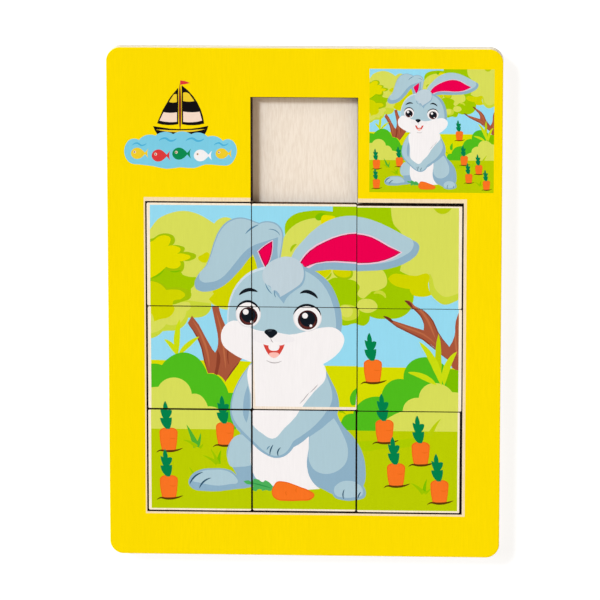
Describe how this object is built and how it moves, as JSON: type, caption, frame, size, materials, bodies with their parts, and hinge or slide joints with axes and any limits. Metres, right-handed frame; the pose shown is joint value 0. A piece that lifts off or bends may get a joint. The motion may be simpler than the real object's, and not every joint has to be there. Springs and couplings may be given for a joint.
{
  "type": "sliding tile puzzle",
  "caption": "Flat wooden sliding picture puzzle: a printed frame glued on a back board, square picture tiles lying loose in its tray, and an empty bay that parks one tile",
  "frame": {"origin": "on the surface that the puzzle lies on, under the middle of the board", "axes": "+Z leaves the printed face, +Y runs along the board towards the parking bay, +X is to the picture's right"},
  "size_m": [0.1148, 0.1504, 0.0064],
  "materials": {
    "bare_wood": "bare pale wood with fine straight grain, cut edges scorched brown",
    "printed_frame": "thin wood sheet printed bright yellow, satin, with a bare margin at the tray",
    "printed_tile": "thin wood sheet with a printed colour picture, satin, cut edges scorched brown"
  },
  "bodies": {
    "base": {"back_board": "bare_wood", "top_frame": "printed_frame"},
    "tile_r1_c1": {"tile_r1_c1": "printed_tile"},
    "tile_r1_c2": {"tile_r1_c2": "printed_tile"},
    "tile_r1_c3": {"tile_r1_c3": "printed_tile"},
    "tile_r2_c1": {"tile_r2_c1": "printed_tile"},
    "tile_r2_c2": {"tile_r2_c2": "printed_tile"},
    "tile_r2_c3": {"tile_r2_c3": "printed_tile"},
    "tile_r3_c1": {"tile_r3_c1": "printed_tile"},
    "tile_r3_c2": {"tile_r3_c2": "printed_tile"},
    "tile_r3_c3": {"tile_r3_c3": "printed_tile"}
  },
  "joints": [
    {"name": "slide_to_bay", "type": "slide", "parent": "base", "child": "tile_r1_c2", "axis": [0, 1, 0], "range_m": [0, 0.0307]},
    {"name": "lift_r1_c1", "type": "slide", "parent": "base", "child": "tile_r1_c1", "axis": [0, 0, 1], "range_m": [0, 0.015]},
    {"name": "lift_r1_c3", "type": "slide", "parent": "base", "child": "tile_r1_c3", "axis": [0, 0, 1], "range_m": [0, 0.015]},
    {"name": "lift_r2_c1", "type": "slide", "parent": "base", "child": "tile_r2_c1", "axis": [0, 0, 1], "range_m": [0, 0.015]},
    {"name": "lift_r2_c2", "type": "slide", "parent": "base", "child": "tile_r2_c2", "axis": [0, 0, 1], "range_m": [0, 0.015]},
    {"name": "lift_r2_c3", "type": "slide", "parent": "base", "child": "tile_r2_c3", "axis": [0, 0, 1], "range_m": [0, 0.015]},
    {"name": "lift_r3_c1", "type": "slide", "parent": "base", "child": "tile_r3_c1", "axis": [0, 0, 1], "range_m": [0, 0.015]},
    {"name": "lift_r3_c2", "type": "slide", "parent": "base", "child": "tile_r3_c2", "axis": [0, 0, 1], "range_m": [0, 0.015]},
    {"name": "lift_r3_c3", "type": "slide", "parent": "base", "child": "tile_r3_c3", "axis": [0, 0, 1], "range_m": [0, 0.015]}
  ]
}
